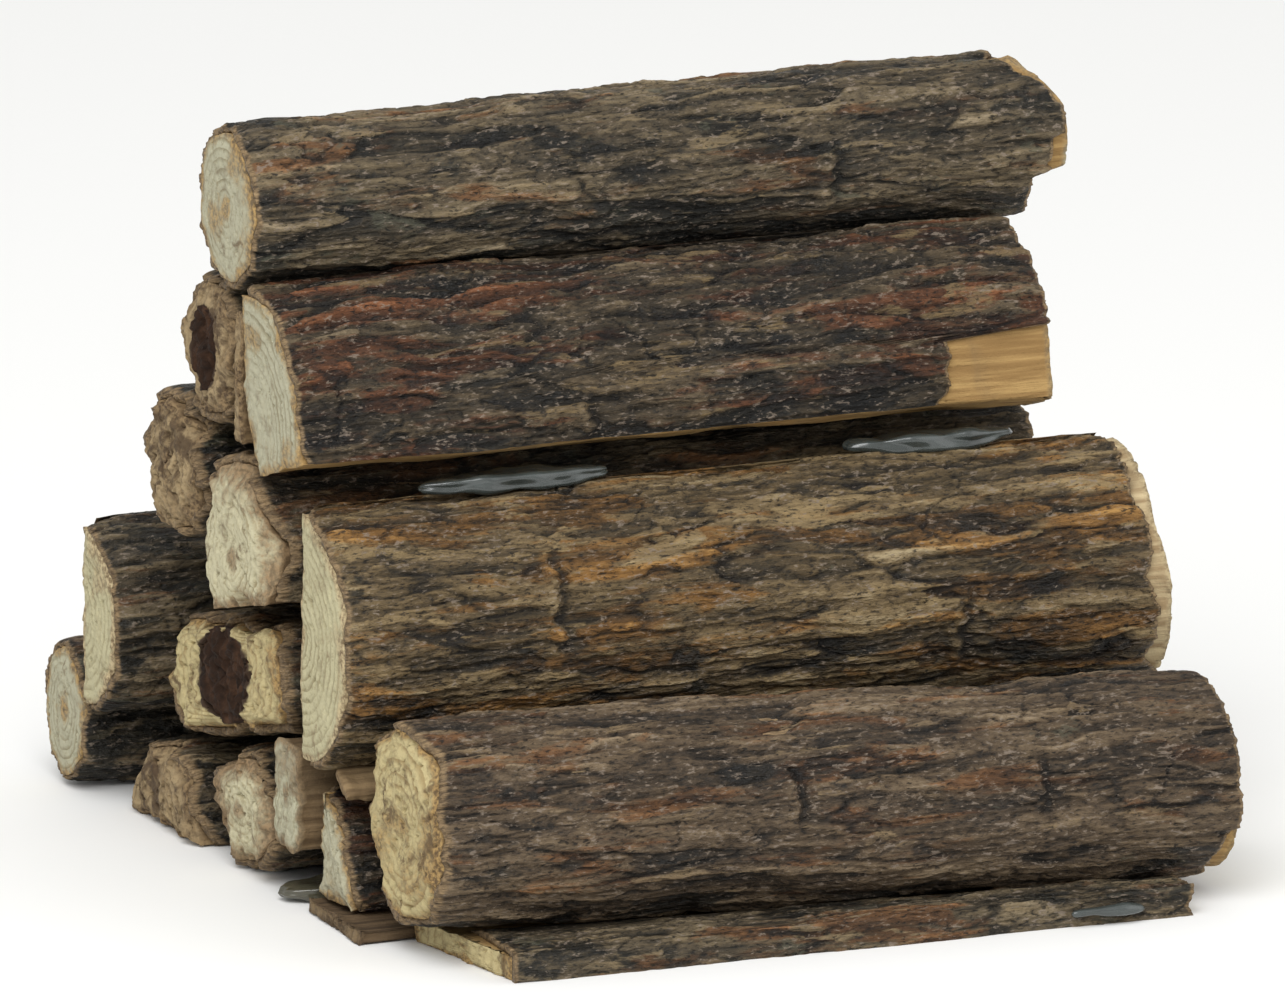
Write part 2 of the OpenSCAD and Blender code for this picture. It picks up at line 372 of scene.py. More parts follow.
def lofted_mesh(name, rings, weights, closed_round, closed_along, **marks):
    """A closed mesh from rings of points, an array of ring, column and x, y, z in mm.

    The weights are the distances between the rings, and back to the first one for a loft that
    closes on itself. Open columns are walled off, and open ends are capped. Marks are values
    for the points.
    """
    u = np.concatenate([[0], np.cumsum(weights)]) / np.sum(weights)
    index = np.arange(rings[..., 0].size).reshape(rings.shape[:2])
    quads, quad_places = grid_faces(index, u, closed_round, closed_along)
    extra = []
    if not closed_round:
        extra += wall_faces(index, u)
    if not closed_along:
        extra += cap_faces(index)

    flat = rings.reshape(-1, 3)
    corners = np.concatenate([quads.ravel()] + [face for face, _ in extra])
    uv = np.concatenate([quad_places] + [places for _, places in extra])
    totals = np.array([4] * len(quads) + [len(face) for face, _ in extra])
    starts = np.concatenate([[0], np.cumsum(totals)[:-1]])
    if volume_of(flat, quads) < 0:
        order = reversed_loops(len(quads), starts, totals)
        corners = corners[order]
        uv = uv[order]

    mesh = bpy.data.meshes.new(name)
    mesh.vertices.add(len(flat))
    mesh.loops.add(len(corners))
    mesh.polygons.add(len(starts))
    write_values(mesh.vertices, "co", flat * MM)
    write_values(mesh.loops, "vertex_index", corners, np.int32)
    write_values(mesh.polygons, "loop_start", starts, np.int32)
    write_values(mesh.polygons, "use_smooth", np.arange(len(starts)) < len(quads), bool)
    write_values(mesh.uv_layers.new(name="OFBake").data, "uv", uv)
    for key, values in marks.items():
        layer = mesh.attributes.new(key, "FLOAT", "POINT")
        write_values(layer.data, "value", np.broadcast_to(values, index.shape))
    mesh.update(calc_edges=True)
    mesh.validate()
    return mesh


def reversed_loops(quad_count, starts, totals):
    """The order of the face corners with every face turned over."""
    quads = np.arange(4 * quad_count).reshape(-1, 4)[:, ::-1].ravel()
    rest = [np.arange(s, s + t)[::-1] for s, t in zip(starts[quad_count:], totals[quad_count:])]
    return np.concatenate([quads] + rest)


def extended(marks, before, after):
    """The marks of a grid's points with the first and the last ring's repeated."""
    padding = ((before, after), (0, 0))
    return {key: np.pad(values, padding, mode="edge") for key, values in marks.items()}


# --- Bark ---


@dataclass
class Log:
    """What sets one log apart from the others."""

    name: str
    bark: str
    wood: str
    seed: int
    coarse: float = 1.0         # grid spacing, as a multiple of the finest
    ridge: float = 1.0          # height of the bark's relief
    saw: float = 1.0            # roughness of the left end
    frayed: float = 0.5         # how far the bark falls short at the right end
    wobble: float = 0.25        # how far the whole log sinks in places
    bevel: float = 0.2          # how far the left end slopes back at its rim, in mm
    reach: tuple = (0.0, 0.0)   # how far the bottom and the top stand out past CAD, in mm
    hem: float = 0.0            # how far the bark falls short of its lower edge, in mm
    worn_end: tuple = ((0, 0), (1, 0))      # share of the height, and mm lost at the right end
    bare_end: tuple = ((0, 0), (1, 0))      # the same for bark that has come off the wood
    scars: tuple = ()           # x, share of the height and half height of each cross break


FRONT_MARGIN = 0.05     # how far behind a plank's front edge its corners may lie, in mm


class Plank(Stick):
    """A slab with a slanted left end, whose outline shows only over its whole length."""

    def __init__(self, node):
        super().__init__(node)
        points = node_points(node)
        low, high = points[:, 1].min(), points[:, 1].max()
        top = points[:, 2].max()
        self.core = np.array([(low, 0), (high, 0), (high, top), (low, top)])
        self.skin = self.core
        self.middle = middle_of(self.core)
        self.slope = np.zeros(2)
        front = points[points[:, 1] < low + FRONT_MARGIN]
        self.slant = front[:, 0].min() - self.x0


def share_of_height(stick, z):
    """0 at the bottom of a log and 1 at its top."""
    low, high = stick.skin[:, 1].min(), stick.skin[:, 1].max()
    return (z - low) / (high - low)


TURN_MM = 24.0          # what one turn round any log counts as in its slow noise
BEVEL_WIDTH = 1.2       # how far in from the rim the left end slopes back, in mm


def slow_field(stick, x, line, seed):
    """A skin whose places are x and the direction of each point from the log's middle."""
    turn = np.arctan2(*(line - stick.middle).T) / (2 * math.pi) + 0.5
    return Skin(x, turn * TURN_MM, TURN_MM, seed)


def sag(log, stick, x, line):
    """How far the log has sunk below its CAD outline at x, for each point of a line."""
    field = slow_field(stick, x, line, log.seed + 600)
    return log.wobble * np.clip(0.4 + 0.7 * field.noise(7, 3, 1, 2), 0, 1)


def bevel(log, stick, line):
    """How far the left end slopes back at its rim, for each point of a line."""
    field = slow_field(stick, 0.0, line, log.seed + 700)
    return log.bevel * np.clip(0.45 + 0.9 * field.noise(1, 2.6, 1, 3), 0.1, 1)


def stretched(log, stick, rings):
    """Moves the lowest and the highest parts of a log's rings out by the log's own amounts."""
    share = share_of_height(stick, rings[..., 2])
    below, above = log.reach
    rings[..., 2] += above * bell(1 - share, 0.25)
    rings[..., 2] -= below * bell(share, 0.16)
    return rings


def hemmed(strip, hem):
    """An open strip of outline without the stretch next to its lower end."""
    from_low_end = np.hypot(*(strip - strip[strip[:, 1].argmin()]).T)
    return strip[from_low_end >= hem]


def lost(profile, share):
    """Millimetres lost at the right end, at these shares of the height."""
    heights, amounts = zip(*profile)
    return np.interp(share, heights, amounts)


def bark_relief(skin, ridge):
    """Height of the bark in mm, and how raised, cracked and toned each point is."""
    swell = 0.12 * skin.noise(8, 4, 1, 2)
    bent = skin.moved(2.0 * skin.noise(6, 2.5, 2, 2), 0.28 * skin.noise(4.5, 1.5, 3, 3))
    gap, tone = bent.plates(8.0, 1.0, 4)
    patchy = np.clip(0.5 + 1.3 * skin.noise(5, 2.4, 10, 2), 0, 1)
    crack = patchy * (1 - np.clip(gap / 0.2, 0, 1))
    short_gap, short_tone = bent.plates(2.1, 0.42, 5)
    short_crack = 1 - np.clip(short_gap / 0.35, 0, 1)
    strips = 1 - 2.2 * abs(bent.noise(9, 0.85, 6, 4))
    furrows = bent.noise(11, 0.6, 11, 3)
    fibres = bent.noise(2.4, 0.2, 7, 2)
    across_gap, _ = skin.moved(0.5 * skin.noise(1.5, 1, 12, 2), 0).plates(3.4, 2.6, 8)
    across = (1 - np.clip(across_gap / 0.06, 0, 1)) * np.clip(2.4 * skin.noise(7, 3, 9) - 0.3, 0, 1)
    crumbs = bent.noise(0.8, 0.3, 13, 2)
    detail = (
        0.08 * strips
        + 0.07 * furrows
        + 0.17 * (tone - 0.5)
        + 0.1 * (short_tone - 0.5)
        + 0.04 * fibres
        + 0.045 * crumbs
        - 0.16 * crack**1.5
        - 0.05 * short_crack**2
        - 0.13 * across
    )
    height = np.clip(swell + ridge * detail - 0.1, BARK_LOWEST, BARK_HIGHEST)
    raised = np.clip(0.5 + 1.7 * detail, 0, 1)
    cracked = np.clip(np.maximum(crack**1.5, across) + 0.3 * short_crack**2, 0, 1)
    toned = 0.5 * tone + 0.5 * short_tone
    return height, raised, cracked, toned


def scarred(log, edge, share, x, height, raised, cracked):
    """Adds the log's cross breaks, each a raised lip with a groove to its right."""
    for scar_x, scar_share, half_height in log.scars:
        off = x - scar_x - 0.35 * edge.noise(1, 0.9, 3, 3)
        window = bell(share - scar_share, half_height, 4)
        lip = window * bell(off, 0.3)
        groove = window * bell(off - 0.55, 0.25)
        height = np.clip(height + 0.16 * lip - 0.24 * groove, BARK_LOWEST, BARK_HIGHEST)
        raised = np.clip(raised + 0.3 * lip - 0.3 * groove, 0, 1)
        cracked = np.maximum(cracked, 0.8 * groove)
    return height, raised, cracked


INNER_ROWS = 9          # rings on the inside of a shell of bark
LEFT_INSET = 0.05       # how far the inside stops short of the shell's ends, in mm
RIGHT_INSET = 0.1


def add_shell(name, node, material, rings, step, closed, **marks):
    """Makes a piece of bark from the rings of its outside and then those of its inside."""
    weights = [step] * (len(rings) - INNER_ROWS - 1) + [0.6] + [0.2] * (INNER_ROWS - 1) + [0.6]
    mesh = lofted_mesh(name, rings, weights, closed, True, **extended(marks, 0, INNER_ROWS))
    add_piece(mesh, material, node)


def bark_piece(log, stick, material):
    """The shell of bark round a log, or along the round side of a split one."""
    closed = stick.strip_closed
    strip = stick.strip if closed else hemmed(stick.strip, log.hem)
    girth = length_of(strip, closed)
    step_x, step_s = (log.coarse * step for step in BARK_STEP)
    columns = round(girth / step_s)
    rows = round((stick.x1 - stick.x0) / step_x)
    outer = resample(strip, columns, closed)
    inner = nearest_on(stick.core, outer)
    normal = outward(outer, stick.middle, closed)
    share = share_of_height(stick, outer[:, 1])
    s = np.linspace(0, girth, columns, endpoint=not closed)
    to_side = np.full(columns, np.inf) if closed else np.minimum(s, girth - s)

    edge = Skin(np.zeros(columns), s, girth, log.seed + 100)
    ragged = abs(edge.noise(1, 2.2, 1, 2)) + 0.35 * abs(edge.noise(1, 0.45, 2, 2))
    corner = bell(to_side, 0.5)
    left = stick.x0 + bevel(log, stick, outer) + 0.16 * ragged + 0.5 * corner
    right = stick.x1 - lost(log.worn_end, share) - lost(log.bare_end, share)
    right = right - log.frayed * ragged - 0.7 * corner
    x = left + np.linspace(0, 1, rows)[:, None] * (right - left)

    height, raised, cracked, toned = bark_relief(Skin(x, s[None], girth, log.seed), log.ridge)
    height, raised, cracked = scarred(log, edge, share, x, height, raised, cracked)
    height = height - 0.16 * np.exp(-np.minimum(x - left, right - x) / 0.25)
    height = height - 0.2 * np.exp(-to_side / 0.3)
    height = np.maximum(height, -0.9 * stick.thickness) - sag(log, stick, x, outer)
    surface = stick.placed(x, outer + height[..., None] * normal)
    back = np.linspace(1, 0, INNER_ROWS)[:, None]
    inner_x = left + LEFT_INSET + back * (right - left - LEFT_INSET - RIGHT_INSET)
    inside = stick.placed(inner_x, inner - sag(log, stick, inner_x, outer)[..., None] * normal)

    torn_left = bell(x - left, 0.2 + 0.4 * log.bevel)
    torn_right = bell(right - x, 0.22)
    add_shell(
        f"{log.name}_bark_relief", f"{log.name}_bark", material,
        stretched(log, stick, np.concatenate([surface, inside])), step_x, closed,
        raised=raised, cracked=cracked, toned=toned, torn=np.maximum(torn_left, torn_right),
        # Painted shade: 1 at the bottom of the log, fading to 0 at 45% of its height; the bark
        # material spreads its dark patches further there
        under=np.broadcast_to(np.clip(1 - share / 0.45, 0, 1), x.shape),
    )


# --- Wood ---

CAP_RINGS = 44          # rings of points over each end of a log
WOOD_STEP = (0.3, 0.12)         # grid spacing along and around the log, in mm
FAR_SAW = 1.8           # roughness of every right end
HOLE_DEPTH = 1.6        # how far the wall round a rotten heart goes in, in mm
HOLE_ROWS = 6


def end_relief(y, z, ring, seed, rough):
    """How far the end grain lies behind the cut plane, in mm."""
    field = flat_skin(y, z, seed)
    swell = 0.05 * field.noise(2.6, 2.6, 1, 2)
    torn = 0.035 * field.noise(0.7, 0.7, 2, 3)
    pits = 0.25 * np.clip(field.noise(0.4, 0.4, 3, 2) - 0.45, 0, 1)
    saw_marks = 0.018 * field.noise(0.16, 2.4, 4, 2)
    year_rings = 0.01 * np.cos(2 * math.pi * ring / 0.62)
    return rough * (swell + torn + pits) + saw_marks + year_rings


def wood_side(log, stick, rim, normal, x):
    """The fibrous side of a wood core, and how deep its points lie under the outline."""
    girth = length_of(rim, True)
    s = np.linspace(0, girth, len(rim), endpoint=False)
    skin = Skin(x, s[None], girth, log.seed + 400)
    bent = skin.moved(0, 0.25 * skin.noise(7, 2, 1, 2))
    fibre = 0.5 + 0.5 * np.clip(bent.noise(9, 0.5, 2, 3), -1, 1)
    bare = np.hypot(*(rim - nearest_on(stick.skin, rim)).T) < 0.1
    depth = 0.03 + np.where(bare, 0.16, 0.05) * fibre
    return rim - (depth + sag(log, stick, x, rim))[..., None] * normal, depth


def wood_rings(log, stick, columns, hole):
    """Rings of a wood core from left to right, the distances between them, and their marks."""
    rim = resample(stick.core, columns, True)
    normal = outward(rim, stick.middle, True)
    start = stick.middle + 0.02 * (rim - stick.middle)
    if hole is not None:
        start = hole_outline(hole, stick.middle, rim)
    fill = 1 - (1 - np.linspace(0, 1, CAP_RINGS)[:, None, None]) ** 1.25
    cap, far_cap = (
        start + fill * (rim - sag(log, stick, x, rim)[..., None] * normal - start)
        for x in (stick.x0, stick.x1)
    )
    to_rim = np.hypot(*np.moveaxis(cap - rim, 2, 0))
    ring = np.hypot(*np.moveaxis(cap - stick.pith(), 2, 0))
    rim_ring = np.hypot(*(rim - stick.pith()).T)
    if stick.strip_closed or stick.strip is None:
        ring = ring / rim_ring * rim_ring.max()

    cut_in = 0.03 + 0.05 * np.exp(-to_rim / 0.12)
    behind = (rim[:, 0].max() - cap[..., 0]) / np.ptp(rim[:, 0])
    left = stick.x0 + cut_in + stick.slant * behind
    left = left + end_relief(cap[..., 0], cap[..., 1], ring, log.seed + 200, log.saw)
    left = left + bevel(log, stick, rim) * np.clip(1 - to_rim / BEVEL_WIDTH, 0, 1) ** 1.5
    far_relief = end_relief(far_cap[..., 0], far_cap[..., 1], ring, log.seed + 300, FAR_SAW)
    worn = lost(log.worn_end, share_of_height(stick, cap[..., 1]))
    right = stick.x1 - worn - cut_in - abs(far_relief)

    rows = round((stick.x1 - stick.x0) / WOOD_STEP[0])
    x = left[-1] + np.linspace(0, 1, rows)[1:-1, None] * (right[-1] - left[-1])
    side, depth = wood_side(log, stick, rim, normal, x)
    rings = [stick.placed(left, cap), stick.placed(x, side), stick.placed(right, far_cap)[::-1]]
    cap_step = 3 * rim_ring.max() / CAP_RINGS
    weights = [cap_step] * CAP_RINGS + [WOOD_STEP[0]] * (rows - 3) + [cap_step] * CAP_RINGS
    on_side = np.zeros(x.shape)
    marks = {
        "ring": np.concatenate([ring, ring[-1] - depth, ring[::-1]]),
        "end": np.concatenate([np.ones(ring.shape), on_side, np.ones(ring.shape)]),
        "rim": np.concatenate([to_rim, on_side, to_rim[::-1]]),
    }
    return stretched(log, stick, np.concatenate(rings)), weights, marks


def hole_outline(hole, centre, rim):
    """The outline of a hole, seen from the centre in the directions of the rim."""
    fine = resample(hole, 720, True) - centre
    turn = np.arctan2(fine[:, 1], fine[:, 0])
    wanted = np.arctan2(*(rim - centre).T[::-1])
    radius = np.interp(wanted, turn, np.hypot(*fine.T), period=2 * math.pi)
    return centre + radius[:, None] * np.stack([np.cos(wanted), np.sin(wanted)], axis=1)


def no_ceiling(x, y):
    """Nothing lies on the piece."""
    return np.full(x.shape, np.inf)


def wood_piece(log, stick, material, node, heart=None, ceiling=no_ceiling):
    """A wood core, slat or strip, or a wood tube round a rotten heart."""
    columns = max(120, round(length_of(stick.core, True) / WOOD_STEP[1]))
    hole = end_outline(node_points(heart), -1) if heart else None
    rings, weights, marks = wood_rings(log, stick, columns, hole)
    if heart:
        deep = rings[:1] + (HOLE_DEPTH, 0, 0)
        steps = np.linspace(1, 0, HOLE_ROWS, endpoint=False)[:, None, None]
        rings = np.concatenate([rings[:1] + steps * (deep - rings[:1]), rings])
        weights = [0.5] * HOLE_ROWS + weights + [1.0]
        marks = extended(marks, HOLE_ROWS, 0)
    hollow = np.zeros((len(rings), 1))
    if heart:
        hollow[:HOLE_ROWS] = 1
        hollow[HOLE_ROWS:2 * HOLE_ROWS, 0] = np.linspace(1, 0, HOLE_ROWS)
    rings[..., 2] = np.minimum(rings[..., 2], ceiling(rings[..., 0], rings[..., 1]))
    mesh = lofted_mesh(f"{node}_grain", rings, weights, True, bool(heart), **marks, hollow=hollow)
    add_piece(mesh, material, node)


HEART_FORWARD = 0.9     # how far a heart's face stands in front of its CAD solid, in mm
HEART_COLUMNS = 110
HEART_RINGS = 30        # rings over each end
HEART_ROWS = 10         # rings along the side


def heart_piece(node, seed, material):
    """A dark crumbled heart, with a hollowed and lumpy face."""
    stick = Stick(node)
    rim = stick.middle + 1.04 * (resample(stick.core, HEART_COLUMNS, True) - stick.middle)
    fill = np.linspace(0.02, 1, HEART_RINGS)[:, None, None]
    cap = stick.middle + fill * (rim - stick.middle)
    field = flat_skin(cap[..., 0], cap[..., 1], seed)
    gap, tone = field.plates(0.55, 0.55, 1)
    lumps = 0.28 * field.noise(1.1, 1.1, 2, 3) + 0.2 * tone - 0.2 * np.clip(gap, 0, 0.6)
    left = stick.x0 - HEART_FORWARD + lumps
    right = stick.x1 - 0.3 - abs(lumps)
    x = np.linspace(left[-1], right[-1], HEART_ROWS + 2)[1:-1]
    rings = np.concatenate([
        np.dstack([left, cap]),
        np.dstack([x, np.broadcast_to(rim, (*x.shape, 2))]),
        np.dstack([right, cap])[::-1],
    ])
    weights = [0.5] * HEART_RINGS + [1.0] * (HEART_ROWS - 1) + [0.5] * HEART_RINGS
    toned = np.concatenate([tone, np.zeros(x.shape), tone[::-1]])
    mesh = lofted_mesh(f"{node}_crumbs", rings, weights, True, False, toned=toned)
    add_piece(mesh, material, node)


SLAB_LID = 5.5          # how far the slab's bark reaches back over its top, in mm
LID_THICKNESS = 0.35
SLAB_INSET = 0.05       # how far its bark stops short of its ends
SLAB_RELIEF = (-0.16, 0.1)      # the heights between which its bark stays
LID_CLEARANCE = 0.08    # how far the bark's inside stays below the front log's bed


def slab_bark_piece(node, seed, material, ceiling):
    """The bark along the front of the slab, folded over the top as far as the front log."""
    plank = Plank(node)
    (front, _), (behind, top) = plank.core.min(0), plank.core.max(0)
    fold = np.array([(front, 0), (front, top), (front + SLAB_LID, top)])
    far = front + 2 * SLAB_LID
    under_lid = top - LID_THICKNESS
    wood = np.array([(behind, 0), (far, 0), (far, under_lid), (behind, under_lid)])
    girth = length_of(fold, False)
    columns = round(girth / BARK_STEP[1])
    rows = round((plank.x1 - plank.x0) / BARK_STEP[0])
    outer = resample(fold, columns, False)
    inner = nearest_on(wood, outer)
    normal = outward(outer, plank.middle, False)
    s = np.linspace(0, girth, columns)
    x = np.linspace(plank.x0 + SLAB_INSET, plank.x1 - SLAB_INSET, rows)[:, None]
    ragged = 0.3 * abs(Skin(x * 0, s, girth, seed + 100).noise(1, 1.1, 1, 3))
    x = x + ragged * (x - plank.x0) / (plank.x0 - plank.x1)
    skin = Skin(x, s + WIDE_GIRTH / 2, WIDE_GIRTH, seed)
    height, raised, cracked, toned = bark_relief(skin, 0.8)
    surface = outer + np.clip(height, *SLAB_RELIEF)[..., None] * normal
    surface[..., 1] = np.maximum(surface[..., 1], 0)
    back = np.linspace(rows - 1, 0, INNER_ROWS).round().astype(int)
    rings = np.concatenate([
        np.dstack([x, surface]),
        np.dstack([x[back], np.broadcast_to(inner, (INNER_ROWS, *inner.shape))]),
    ])
    depth = LID_CLEARANCE * (np.arange(len(rings)) >= rows)[:, None]
    rings[..., 2] = np.minimum(rings[..., 2], ceiling(rings[..., 0], rings[..., 1]) - depth)
    to_end = np.minimum(x - plank.x0, plank.x1 - ragged - x)
    add_shell(
        f"{node}_relief", node, material, rings, BARK_STEP[0], False,
        raised=raised, cracked=cracked, toned=toned, torn=bell(to_end, 0.3),
    )


def lens_shape(points, height):
    """Squeezes a bead so that it thins out towards its two ends."""
    low, high = points.min(0), points.max(0)
    centre = (low + high) / 2
    centre[2] = low[2] + 0.5 * height * (high[2] - low[2])
    share = np.clip(2 * abs(points[:, 0] - centre[0]) / (high[0] - low[0]), 0, 1)
    thin = np.sqrt(1 - 0.96 * share**2)[:, None] * np.array([0.85, height])
    middle = (low + high)[1:] / 2
    points[:, 1:] = centre[1:] + thin * (points[:, 1:] - middle)
    return points


def melted(node, name, voxel, rounds):
    """A finely divided copy of a CAD node's mesh, with its edges smoothed away."""
    copy = add_object(name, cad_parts[node].data.copy())
    remesh = copy.modifiers.new("fine", "REMESH")
    remesh.mode = "VOXEL"
    remesh.voxel_size = voxel * MM
    smooth = copy.modifiers.new("melt", "SMOOTH")
    smooth.factor = 0.5
    smooth.iterations = rounds
    shape = copy.evaluated_get(bpy.context.evaluated_depsgraph_get())
    mesh = bpy.data.meshes.new_from_object(shape)
    bpy.data.objects.remove(copy)
    mesh.name = name
    mesh.materials.clear()
    return mesh


def blob_piece(node, name, material, seed, voxel, rounds, lump, lump_mm, swell=0.0, height=None):
    """A CAD node's shape melted round, then swollen and made lumpy."""
    mesh = melted(node, name, voxel, rounds)
    points = read_rows(mesh.vertices, "co") / MM
    normals = read_rows(mesh.vertex_normals, "vector")
    x, y, z = points.T / lump_mm
    rough = gradient_noise(x, z + 60, seed, 400) + gradient_noise(x, y + 60, seed + 1, 400)
    if height:
        points = lens_shape(points, height)
    points = points + (swell + lump * rough)[:, None] * normals
    points[:, 2] = np.maximum(points[:, 2], 0)
    write_values(mesh.vertices, "co", points * MM)
    write_values(mesh.polygons, "use_smooth", np.ones(len(mesh.polygons)), bool)
    mesh.update()
    add_piece(mesh, material, node)


# --- Materials ---


class Shader:
    """A node material with one Principled shader, and short ways to add nodes to it."""

    def __init__(self, name):
        self.material = bpy.data.materials.new(name)
        self.seed = float(sum(map(ord, name)))
        self.material.use_nodes = True
        self.tree = self.material.node_tree
        self.surface = self.tree.nodes["Principled BSDF"]
        place = self.tree.nodes.new("ShaderNodeTexCoord")
        self.place = self.scaled(place.outputs["Object"], (1 / MM,) * 3)

    def node(self, kind, **settings):
        made = self.tree.nodes.new(f"ShaderNode{kind}")
        for key, value in settings.items():
            setattr(made, key, value)
        return made

    def plug(self, socket, value):
        if isinstance(value, bpy.types.NodeSocket):
            self.tree.links.new(value, socket)
        else:
            socket.default_value = value

    def scaled(self, vector, scale):
        made = self.node("VectorMath", operation="MULTIPLY")
        self.plug(made.inputs[0], vector)
        self.plug(made.inputs[1], scale)
        return made.outputs[0]

    def noise(self, along, across, detail=3.0, roughness=0.55, distortion=0.0):
        """Noise from 0 to 1 with this many waves per mm along x and across it, new at each call."""
        made = self.node("TexNoise", noise_dimensions="4D")
        self.seed += 7.3
        self.plug(made.inputs["W"], self.seed)
        self.plug(made.inputs["Vector"], self.scaled(self.place, (along, across, across)))
        self.plug(made.inputs["Scale"], 1.0)
        self.plug(made.inputs["Detail"], detail)
        self.plug(made.inputs["Roughness"], roughness)
        self.plug(made.inputs["Distortion"], distortion)
        return made.outputs["Fac"]

    def attribute(self, name):
        return self.node("Attribute", attribute_name=name).outputs["Fac"]

    def sum(self, *terms):
        """Adds up (value, factor) pairs and bare numbers."""
        total = 0.0
        for term in terms:
            value, factor = term if isinstance(term, tuple) else (term, 1.0)
            made = self.node("Math", operation="MULTIPLY_ADD")
            self.plug(made.inputs[0], value)
            self.plug(made.inputs[1], factor)
            self.plug(made.inputs[2], total)
            total = made.outputs[0]
        return total

    def math(self, operation, a, b=0.0):
        made = self.node("Math", operation=operation)
        self.plug(made.inputs[0], a)
        self.plug(made.inputs[1], b)
        return made.outputs[0]

    def between(self, value, low, high, to_low=0.0, to_high=1.0):
        made = self.node("MapRange", interpolation_type="SMOOTHSTEP")
        for socket, number in zip(made.inputs, (value, low, high, to_low, to_high)):
            self.plug(socket, number)
        return made.outputs[0]

    def ramp(self, value, *stops):
        """Colours in linear RGB at places from 0 to 1."""
        made = self.node("ValToRGB")
        elements = made.color_ramp.elements
        while len(elements) < len(stops):
            elements.new(0.5)
        for element, (position, colour) in zip(elements, stops):
            element.position = position
            element.color = (*colour, 1.0)
        self.plug(made.inputs["Fac"], value)
        return made.outputs["Color"]

    def mix(self, factor, a, b, blend="MIX"):
        made = self.node("Mix", data_type="RGBA", blend_type=blend)
        self.plug(made.inputs["Factor"], factor)
        colours = [socket for socket in made.inputs if socket.type == "RGBA"]
        for socket, value in zip(colours, (a, b)):
            self.plug(socket, (*value, 1.0) if isinstance(value, tuple) else value)
        return [socket for socket in made.outputs if socket.type == "RGBA"][0]

    def cover(self, under, over, value, low, high, most=1.0):
        """One colour over another, by 0 where a value is low and by `most` where it is high."""
        return self.mix(self.between(value, low, high, 0.0, most), under, over)

    def bump(self, height, depth_mm):
        made = self.node("Bump")
        self.plug(made.inputs["Strength"], 1.0)
        self.plug(made.inputs["Distance"], depth_mm * MM)
        self.plug(made.inputs["Height"], height)
        self.plug(self.surface.inputs["Normal"], made.outputs["Normal"])

    def finish(self, colour, roughness, specular=0.5):
        self.plug(self.surface.inputs["Base Color"], colour)
        self.plug(self.surface.inputs["Roughness"], roughness)
        self.surface.inputs["Specular IOR Level"].default_value = specular
        return self.material


INNER_BARK_DARK = (0.07, 0.045, 0.024)
INNER_BARK_LIGHT = (0.32, 0.22, 0.115)
# Colour of the pale glint specks on the bark: a painted highlight
PAINTED_GLINT = (0.22, 0.175, 0.135)
# Tint of the dark soot patches, which also darkens the underside of each log as painted shade
SOOT_AND_SHADE = (0.22, 0.25, 0.27)
LICHEN = (0.12, 0.125, 0.085)


@dataclass
class BarkLook:
    """Colours of one kind of bark in linear RGB. The places where patches start run from 0 to 1."""

    crack: tuple
    deep: tuple
    body: tuple
    high: tuple
    pale: tuple
    warm: tuple                 # long streaks with this tint
    warm_from: float
    flaked: tuple               # places where the outer bark has come off
    flaked_from: float
    # Where the dark patches start; they are real soot patches, pushed further over the underside as
    # painted shade
    soot_and_shade_below: float = 0.45
    lichen_from: float = 0.66


